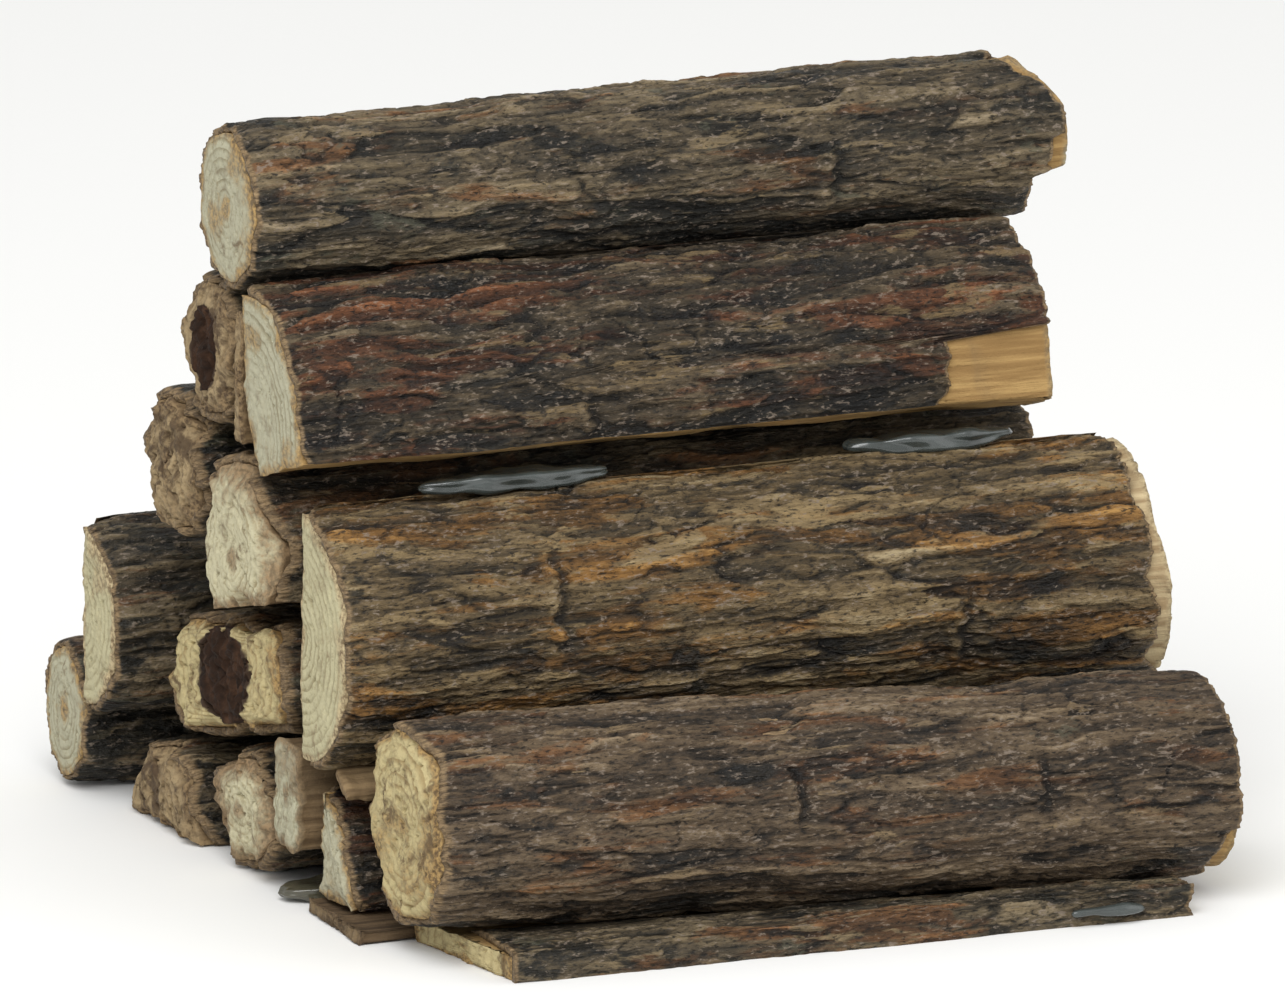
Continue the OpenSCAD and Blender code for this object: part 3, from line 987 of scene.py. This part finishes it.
def bark_material(name, look):
    """Bark whose colour climbs with its relief, under streaks, stains and specks; its dark patches
    spread further over its underside as painted shade, and its pale specks are painted glints.
    """
    shader = Shader(name)
    streaks = shader.noise(0.12, 1.3, 5, 0.6, 0.6)
    fibres = shader.noise(0.7, 6.0, 4, 0.6, 0.4)
    grains = shader.noise(2.4, 6.0, 3, 0.65, 0.3)
    blotches = shader.noise(0.9, 1.9, 4, 0.7, 0.6)
    toned = shader.attribute("toned")
    level = shader.sum(
        (shader.attribute("raised"), 0.6),
        (streaks, 0.6),
        (fibres, 0.5),
        (grains, 0.55),
        (blotches, 0.4),
        (toned, 0.36),
        (shader.attribute("cracked"), -0.34),
        -0.98,
    )
    tones = (look.crack, look.deep, look.body, look.high, look.pale)
    colour = shader.ramp(level, *zip((0.0, 0.25, 0.48, 0.72, 1.0), tones))
    warm = shader.noise(0.1, 0.6, 5, 0.62, 0.8)
    tinted = shader.mix(1.0, colour, look.warm, "MULTIPLY")
    colour = shader.cover(colour, tinted, warm, look.warm_from, look.warm_from + 0.08)
    flaked = shader.sum((shader.noise(0.17, 0.8, 5, 0.62, 0.5), 0.85), (toned, 0.15))
    bared = shader.cover(look.high, look.flaked, fibres, 0.3, 0.7)
    colour = shader.cover(colour, bared, flaked, look.flaked_from, look.flaked_from + 0.05, 0.85)
    # Dark soot patches at random, and painted shade: the 'under' mark lowers the mask so that the
    # patches cover more of the log's underside
    sooty = shader.sum((shader.noise(0.12, 0.32, 5, 0.66, 1.2), 0.86), (toned, 0.14))
    soot_and_painted_shade = shader.sum((sooty, 1.0), (shader.attribute("under"), -0.11))
    soot_and_shade_colour = shader.mix(1.0, colour, SOOT_AND_SHADE, "MULTIPLY")
    colour = shader.cover(colour, soot_and_shade_colour, soot_and_painted_shade, look.soot_and_shade_below, look.soot_and_shade_below - 0.07)
    crusty = shader.noise(0.24, 0.5, 5, 0.66, 0.6)
    crust = shader.mix(grains, look.deep, LICHEN)
    colour = shader.cover(colour, crust, crusty, look.lichen_from, look.lichen_from + 0.05, 0.6)
    colour = shader.cover(colour, look.crack, grains, 0.45, 0.34, 0.85)
    # Painted highlight: pale glint specks where the fine grain and blotch noise peak
    glint = shader.sum((grains, 0.6), (blotches, 0.4))
    colour = shader.cover(colour, PAINTED_GLINT, glint, 0.545, 0.61, 0.75)
    rim = shader.cover(INNER_BARK_DARK, INNER_BARK_LIGHT, fibres, 0.3, 0.7)
    torn = shader.sum((shader.attribute("torn"), 1.5), (fibres, 0.9), -0.95)
    colour = shader.cover(colour, rim, torn, 0.1, 0.8)
    shader.bump(shader.sum((fibres, 0.8), (grains, 1.2), (streaks, 0.5), (blotches, 0.6)), 0.2)
    shine = shader.sum((fibres, 0.4), (sooty, 0.6))
    return shader.finish(colour, shader.between(shine, 0.38, 0.62, 0.36, 0.8), 0.35)


ROTTEN = (0.045, 0.026, 0.015)


@dataclass
class WoodLook:
    """Colours of one kind of wood in linear RGB, and how its rings and stains lie."""

    pale: tuple
    dark: tuple                 # the late part of each year ring
    grime: tuple
    side_light: tuple
    side_dark: tuple
    ring_mm: float = 0.5        # from one year ring to the next
    mottle: float = 0.5         # strength of the grime
    rim_mm: float = 0.6         # how far the fuzzy rim reaches in
    rot_from: float = 0.6       # place from 0 to 1 where rot starts


def wood_material(name, look):
    """Sawn end grain with year rings on the ends, and straight grain along the sides."""
    shader = Shader(name)
    cloud = shader.noise(0.35, 0.35, 4, 0.6, 0.3)
    patches = shader.noise(0.9, 0.9, 5, 0.62, 0.5)
    grit = shader.noise(4.5, 4.5, 3, 0.6)
    ring = shader.attribute("ring")
    warped = shader.sum((ring, 1.0), (cloud, 0.7), (patches, 0.12))
    wave = shader.math("FRACT", shader.math("DIVIDE", warped, look.ring_mm))
    late = shader.between(wave, 0.45, 0.95)
    late = shader.math("MULTIPLY", late, shader.between(wave, 1.0, 0.93))
    late = shader.math("MULTIPLY", late, shader.between(cloud, 0.38, 0.6, 0.15, 1.0))
    face = shader.mix(shader.math("MULTIPLY", late, 0.85), look.pale, look.dark)
    face = shader.cover(face, look.grime, patches, 0.5, 0.72, look.mottle)
    face = shader.cover(face, look.dark, grit, 0.52, 0.7, 0.55)
    fuzz = shader.cover(look.grime, look.side_light, grit, 0.35, 0.65)
    stains = shader.noise(0.28, 0.28, 3, 0.55, 0.6)
    face = shader.cover(face, fuzz, stains, 0.52, 0.66, 0.7)
    rot = shader.noise(0.5, 0.5, 5, 0.65, 0.8)
    face = shader.cover(face, look.grime, rot, look.rot_from, look.rot_from + 0.1, 0.85)
    from_rim = (shader.attribute("rim"), 1.0 / look.rim_mm)
    inward = shader.sum(from_rim, (patches, -2.4), (stains, -1.6), 2.0)
    face = shader.cover(face, fuzz, inward, 1.1, 0.2, 0.9)
    from_pith = shader.sum((ring, 1.0), (patches, 1.2), -0.6)
    face = shader.cover(face, fuzz, from_pith, 0.75, 0.3, 0.75)
    grain = shader.noise(0.1, 2.2, 5, 0.62, 0.5)
    hairs = shader.noise(0.5, 8.0, 3, 0.6)
    side = shader.cover(look.side_dark, look.side_light, grain, 0.35, 0.66)
    side = shader.cover(side, look.side_dark, hairs, 0.5, 0.75, 0.5)
    side = shader.cover(side, look.grime, stains, 0.5, 0.66, 0.5)
    hollow = shader.sum((shader.attribute("hollow"), 1.0), (patches, 0.5))
    face = shader.cover(face, ROTTEN, hollow, 0.25, 0.9)
    colour = shader.mix(shader.attribute("end"), side, face)
    shader.bump(shader.sum((grit, 0.6), (patches, 0.6), (hairs, 0.7)), 0.1)
    return shader.finish(colour, 0.82, 0.25)


def heart_material():
    """Brown rot that has broken up into crumbs."""
    shader = Shader("rotten_heart")
    crumbs = shader.noise(2.2, 2.2, 5, 0.65)
    lumps = shader.noise(0.8, 0.8, 3, 0.6)
    level = shader.sum((crumbs, 0.7), (lumps, 0.3), (shader.attribute("toned"), 0.25), -0.12)
    colour = shader.ramp(
        level,
        (0.2, (0.005, 0.003, 0.002)),
        (0.5, (0.03, 0.014, 0.007)),
        (0.75, (0.075, 0.036, 0.018)),
        (1.0, (0.17, 0.1, 0.05)),
    )
    shader.bump(crumbs, 0.2)
    return shader.finish(colour, 0.85, 0.2)


def glue_material(name, dark, light):
    """Cloudy glue with a wet gloss."""
    shader = Shader(name)
    haze = shader.noise(0.5, 0.5, 3, 0.5)
    colour = shader.ramp(haze, (0.3, dark), (0.7, light))
    shader.bump(shader.noise(0.7, 1.1, 2, 0.5), 0.12)
    shader.surface.inputs["Transmission Weight"].default_value = 0.35
    shader.surface.inputs["Coat Weight"].default_value = 0.6
    shader.surface.inputs["Coat Roughness"].default_value = 0.12
    return shader.finish(colour, 0.22, 0.5)


BARKS = {
    "dark_bark": BarkLook(
        crack=(0.006, 0.005, 0.003), deep=(0.025, 0.02, 0.012), body=(0.067, 0.05, 0.029),
        high=(0.136, 0.102, 0.057), pale=(0.32, 0.25, 0.155), warm=(1.1, 0.7, 0.48), warm_from=0.54,
        flaked=(0.245, 0.18, 0.097), flaked_from=0.58, soot_and_shade_below=0.48, lichen_from=0.6,
    ),
    "red_bark": BarkLook(
        crack=(0.004, 0.003, 0.002), deep=(0.015, 0.011, 0.006), body=(0.04, 0.029, 0.016),
        high=(0.084, 0.059, 0.032), pale=(0.21, 0.16, 0.095), warm=(1.25, 0.64, 0.42), warm_from=0.49,
        flaked=(0.21, 0.146, 0.068), flaked_from=0.58, soot_and_shade_below=0.47,
    ),
    "ochre_bark": BarkLook(
        crack=(0.009, 0.006, 0.003), deep=(0.035, 0.025, 0.012), body=(0.09, 0.061, 0.028),
        high=(0.175, 0.122, 0.058), pale=(0.37, 0.29, 0.165), warm=(1.2, 0.85, 0.45), warm_from=0.5,
        flaked=(0.28, 0.2, 0.095), flaked_from=0.57, soot_and_shade_below=0.42,
    ),
    "mauve_bark": BarkLook(
        crack=(0.007, 0.005, 0.003), deep=(0.028, 0.019, 0.011), body=(0.072, 0.048, 0.027),
        high=(0.134, 0.093, 0.053), pale=(0.3, 0.225, 0.14), warm=(1.2, 0.82, 0.55), warm_from=0.53,
        flaked=(0.24, 0.17, 0.09), flaked_from=0.58, soot_and_shade_below=0.43,
    ),
}
WOODS = {
    "pale_wood": WoodLook(
        pale=(0.42, 0.4, 0.285), dark=(0.22, 0.19, 0.11), grime=(0.15, 0.105, 0.058),
        side_light=(0.42, 0.27, 0.105), side_dark=(0.24, 0.14, 0.05), ring_mm=0.46,
    ),
    "cream_wood": WoodLook(
        pale=(0.48, 0.44, 0.275), dark=(0.25, 0.21, 0.115), grime=(0.17, 0.115, 0.06),
        side_light=(0.55, 0.44, 0.26), side_dark=(0.3, 0.21, 0.11),
    ),
    "stained_wood": WoodLook(
        pale=(0.52, 0.48, 0.32), dark=(0.27, 0.22, 0.12), grime=(0.13, 0.085, 0.045),
        side_light=(0.29, 0.19, 0.1), side_dark=(0.12, 0.076, 0.038),
        mottle=0.7, rim_mm=1.3, rot_from=0.57,
    ),
    "tan_wood": WoodLook(
        pale=(0.33, 0.245, 0.135), dark=(0.16, 0.11, 0.056), grime=(0.06, 0.036, 0.02),
        side_light=(0.27, 0.185, 0.095), side_dark=(0.12, 0.076, 0.038),
        ring_mm=0.6, mottle=0.85, rim_mm=1.0, rot_from=0.49,
    ),
    "golden_wood": WoodLook(
        pale=(0.49, 0.41, 0.215), dark=(0.28, 0.2, 0.09), grime=(0.11, 0.07, 0.035),
        side_light=(0.42, 0.27, 0.105), side_dark=(0.24, 0.145, 0.055),
        ring_mm=0.6, mottle=0.9, rot_from=0.55,
    ),
    "slat_wood": WoodLook(
        pale=(0.43, 0.41, 0.29), dark=(0.22, 0.19, 0.11), grime=(0.13, 0.09, 0.05),
        side_light=(0.25, 0.17, 0.09), side_dark=(0.11, 0.07, 0.035), rim_mm=0.45,
    ),
    "brown_wood": WoodLook(
        pale=(0.2, 0.14, 0.075), dark=(0.1, 0.068, 0.036), grime=(0.05, 0.032, 0.018),
        side_light=(0.15, 0.1, 0.055), side_dark=(0.05, 0.032, 0.018),
        ring_mm=0.6, mottle=0.9, rot_from=0.5,
    ),
}
MATERIALS = {
    "rotten_heart": heart_material(),
    "clear_glue": glue_material("clear_glue", (0.035, 0.042, 0.038), (0.1, 0.12, 0.115)),
    "dusty_glue": glue_material("dusty_glue", (0.07, 0.065, 0.04), (0.17, 0.155, 0.105)),
}
MATERIALS |= {name: bark_material(name, look) for name, look in BARKS.items()}
MATERIALS |= {name: wood_material(name, look) for name, look in WOODS.items()}


# --- The stack ---

LOGS = [
    Log("top_log", "dark_bark", "pale_wood", 11, frayed=0.35, scars=((8.3, 0.47, 0.2),),
        worn_end=((0, 1.5), (0.3, 1.5), (0.36, 0), (0.72, 0), (0.88, 0.8), (1, 2.4)),
        bare_end=((0, 0), (0.34, 0.2), (0.37, 1.0), (0.55, 0.7), (0.6, 0.1), (1, 0))),
    Log("quarter_log", "red_bark", "pale_wood", 23, ridge=1.2, frayed=0.3, hem=0.14, reach=(0.4, 0.6),
        scars=((-6.0, 0.3, 0.12),),
        bare_end=((0, 5.0), (0.55, 5.0), (0.59, 0), (1, 0))),
    Log("crown_log", "dark_bark", "tan_wood", 37, coarse=1.5, saw=3.0, wobble=0.5, bevel=1.2),
    Log("middle_log", "dark_bark", "stained_wood", 41, coarse=1.5, saw=2.2, wobble=0.4, bevel=1.3),
    Log("shoulder_log", "dark_bark", "tan_wood", 53, coarse=1.5, saw=4.5, wobble=0.6, bevel=1.1),
    Log("packing_stick", "dark_bark", "tan_wood", 61, coarse=2.0, saw=3.0, bevel=1.0),
    Log("wide_log", "dark_bark", "golden_wood", 73, coarse=1.5, saw=4.0, wobble=0.8, bevel=1.4),
    Log("half_log", "ochre_bark", "cream_wood", 83, frayed=0.4, reach=(0, 0.12),
        scars=((-9.2, 0.67, 0.2), (10.6, 0.41, 0.15)),
        worn_end=((0, 0), (0.25, 0), (0.5, 0.2), (0.75, 0.8), (0.93, 0.7), (1, 1.0)),
        bare_end=((0.1, 0), (0.2, 1.1), (0.38, 0.5), (0.55, 1.2), (0.7, 0.2), (0.88, 0.9), (1, 0.2))),
    Log("back_half_log", "dark_bark", "cream_wood", 97, coarse=1.2, saw=1.3, bevel=0.15),
    Log("rear_floor_log", "dark_bark", "pale_wood", 103, coarse=1.2, saw=1.3, bevel=0.15),
    Log("low_half_log", "dark_bark", "tan_wood", 113, coarse=1.5, saw=3.0, wobble=0.4, bevel=1.1),
    Log("floor_log", "dark_bark", "stained_wood", 127, coarse=1.5, saw=2.6, wobble=0.4, bevel=1.1),
    Log("front_log", "mauve_bark", "golden_wood", 131, coarse=1.12, saw=3.2, frayed=0.3, bevel=0.7,
        scars=((-1.0, 0.65, 0.14), (10.9, 0.61, 0.16)),
        bare_end=((0, 0.9), (0.22, 0.8), (0.34, 0), (1, 0))),
    Log("wedge", "red_bark", "pale_wood", 149, coarse=1.5, saw=1.8, bevel=0.4),
]
ROTTEN_LOGS = ("crown_log", "wide_log")
DUSTY_BEADS = ("glue_bead_low", "glue_bead_back")
BED_GAP = 0.05          # between the slab and the front log, in mm
THINNEST_SLAB = 0.12
WOOD_UNDER_BARK = 0.1   # how far the slab's wood stays below its bark


def log_pieces(log):
    """Bark, core and, where there is one, the rotten heart of a log."""
    stick = Stick(f"{log.name}_wood", f"{log.name}_bark")
    bark_piece(log, stick, MATERIALS[log.bark])
    heart = f"{log.name}_heart" if log.name in ROTTEN_LOGS else None
    wood_piece(log, stick, MATERIALS[log.wood], f"{log.name}_wood", heart)
    if heart:
        heart_piece(heart, log.seed + 500, MATERIALS["rotten_heart"])


def slat_piece(node, wood, seed):
    """A plain stick of cleft wood."""
    log = Log(node, "", wood, seed, saw=1.5, wobble=0.1)
    wood_piece(log, Stick(node), MATERIALS[wood], node)


def slab_pieces():
    """The slab, its top hollowed out along the front log that beds into it."""
    log = Stick("front_log_wood", "front_log_bark")
    radius = np.ptp(log.skin[:, 1]) / 2
    plank = Plank("base_slab_wood")
    plank_top = plank.core[:, 1].max()

    def under_front_log(x, y):
        centre = log.middle + log.leaning(x)
        across = np.clip(abs(y - centre[..., 0]) / radius, 0, 1)
        bed = centre[..., 1] - radius * np.sqrt(1 - across**2)
        return np.maximum(bed - BED_GAP, THINNEST_SLAB)

    def under_bark(x, y):
        return np.minimum(under_front_log(x, y) - WOOD_UNDER_BARK, plank_top - LID_THICKNESS)

    slab = Log("base_slab", "dark_bark", "golden_wood", 157, saw=2.0, wobble=0.0)
    wood_piece(slab, plank, MATERIALS[slab.wood], "base_slab_wood", ceiling=under_bark)
    slab_bark_piece("base_slab_bark", 159, MATERIALS[slab.bark], under_front_log)


# --- Camera, light and floor ---

CAMERA_AZIMUTH = -21.7
CAMERA_ELEVATION = 13.8
VIEW_WIDTH = 59.1               # mm across the picture
AIM = (-0.12, -1.56)            # mm right of and above the middle of the object
LENS = 800.0
SENSOR = 36.0
FLOOR_REACH = 12.0              # metres from the middle of the floor to its sides


def direction(azimuth, elevation):
    """Unit vector from the object towards a viewer or a light."""
    a = math.radians(azimuth)
    e = math.radians(elevation)
    return Vector((math.sin(a) * math.cos(e), -math.cos(a) * math.cos(e), math.sin(e)))


def facing(back):
    """Rotation of a camera or lamp that looks against `back`."""
    return (-back).to_track_quat("-Z", "Y")


def add_aimed(name, data, back, place):
    """Adds a camera or lamp that looks against `back`."""
    made = add_object(name, data)
    made.rotation_mode = "QUATERNION"
    made.rotation_quaternion = facing(back)
    made.location = place
    return made


def add_camera(centre):
    """A long lens that looks at the object from the photo's side."""
    data = bpy.data.cameras.new("view")
    data.lens = LENS
    data.sensor_width = SENSOR
    back = direction(CAMERA_AZIMUTH, CAMERA_ELEVATION)
    aim = centre + facing(back) @ Vector((AIM[0] * MM, AIM[1] * MM, 0))
    place = aim + back * (VIEW_WIDTH * MM * LENS / SENSOR)
    bpy.context.scene.camera = add_aimed("view", data, back, place)


def add_lamp(name, centre, azimuth, elevation, distance, size, power):
    """A square lamp, its distance and size in metres and its power in watts."""
    data = bpy.data.lights.new(name, "AREA")
    data.size = size
    data.energy = power
    back = direction(azimuth, elevation)
    add_aimed(name, data, back, centre + back * distance)


def add_floor():
    """Plain pale paper."""
    corners = [(FLOOR_REACH * x, FLOOR_REACH * y, 0) for x, y in ((-1, -1), (1, -1), (1, 1), (-1, 1))]
    mesh = bpy.data.meshes.new("floor")
    mesh.from_pydata(corners, [], [(0, 1, 2, 3)])
    shader = Shader("floor_paper")
    shader.finish((0.88, 0.88, 0.87, 1.0), 0.9, 0.1)
    mesh.materials.append(shader.material)
    add_object("floor", mesh)


def add_world(strength):
    """Even white light from all round."""
    world = bpy.data.worlds.new("studio")
    world.use_nodes = True
    background = world.node_tree.nodes["Background"]
    background.inputs["Color"].default_value = (1.0, 1.0, 0.99, 1.0)
    background.inputs["Strength"].default_value = strength
    bpy.context.scene.world = world


for entry in LOGS:
    log_pieces(entry)
slat_piece("base_strip", "brown_wood", 167)
slat_piece("upright_slat", "slat_wood", 173)
slat_piece("splint", "tan_wood", 179)
slab_pieces()
blob_piece(
    "bark_flake", "bark_flake_splinter", MATERIALS["tan_wood"], 191,
    voxel=0.1, rounds=2, lump=0.08, lump_mm=0.7,
)
for number, bead in enumerate(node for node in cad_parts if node.startswith("glue_bead")):
    glue = MATERIALS["dusty_glue" if bead in DUSTY_BEADS else "clear_glue"]
    blob_piece(
        bead, f"{bead}_blob", glue, 211 + number,
        voxel=0.12, rounds=14, lump=0.1, lump_mm=1.4, swell=0.1, height=0.34,
    )

middle_of_stack = (cad_box[0] + cad_box[1]) / 2
add_camera(middle_of_stack)
add_lamp("key", middle_of_stack, azimuth=-32, elevation=48, distance=0.5, size=0.35, power=2.0)
add_lamp("fill", middle_of_stack, azimuth=50, elevation=25, distance=0.6, size=0.5, power=0.6)
add_world(0.72)
add_floor()
bpy.context.scene.view_settings.view_transform = "Standard"
